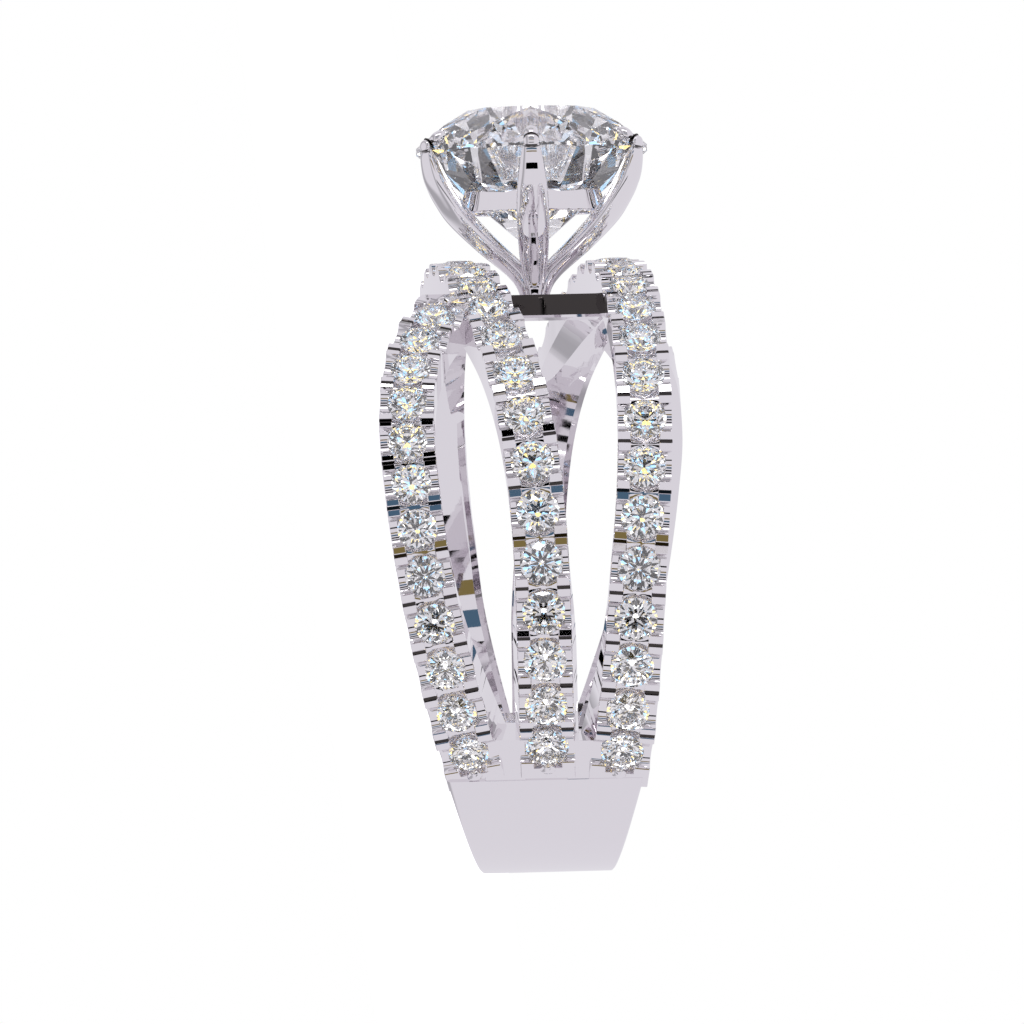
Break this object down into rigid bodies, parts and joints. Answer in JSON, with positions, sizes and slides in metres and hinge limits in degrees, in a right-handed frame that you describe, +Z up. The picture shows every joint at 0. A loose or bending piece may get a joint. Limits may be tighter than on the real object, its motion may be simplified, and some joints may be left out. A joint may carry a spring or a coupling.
{
  "type": "split shank ring",
  "caption": "Finger ring with a round centre stone in a claw head, on a plain shank that splits into crossing rails and short strands set with small round stones",
  "frame": {"origin": "on the surface that the ring lies on, below the middle of its outline from above", "axes": "+Z up, with the ring on its side: the axis of its finger hole stands within seven degrees of +Z. The head with the centre stone points to -X, and the plain low part of the shank to +X."},
  "size_m": [0.026, 0.021, 0.0099],
  "materials": {
    "white_gold": "polished white gold with a rhodium surface",
    "diamond": "clear, cut with flat polished facets"
  },
  "bodies": {
    "root": {"mounting": "white_gold", "centre_stone": "diamond", "left_rail_stones": "diamond", "right_rail_stones": "diamond", "near_strand_stones": "diamond", "far_strand_stones": "diamond"}
  },
  "joints": []
}
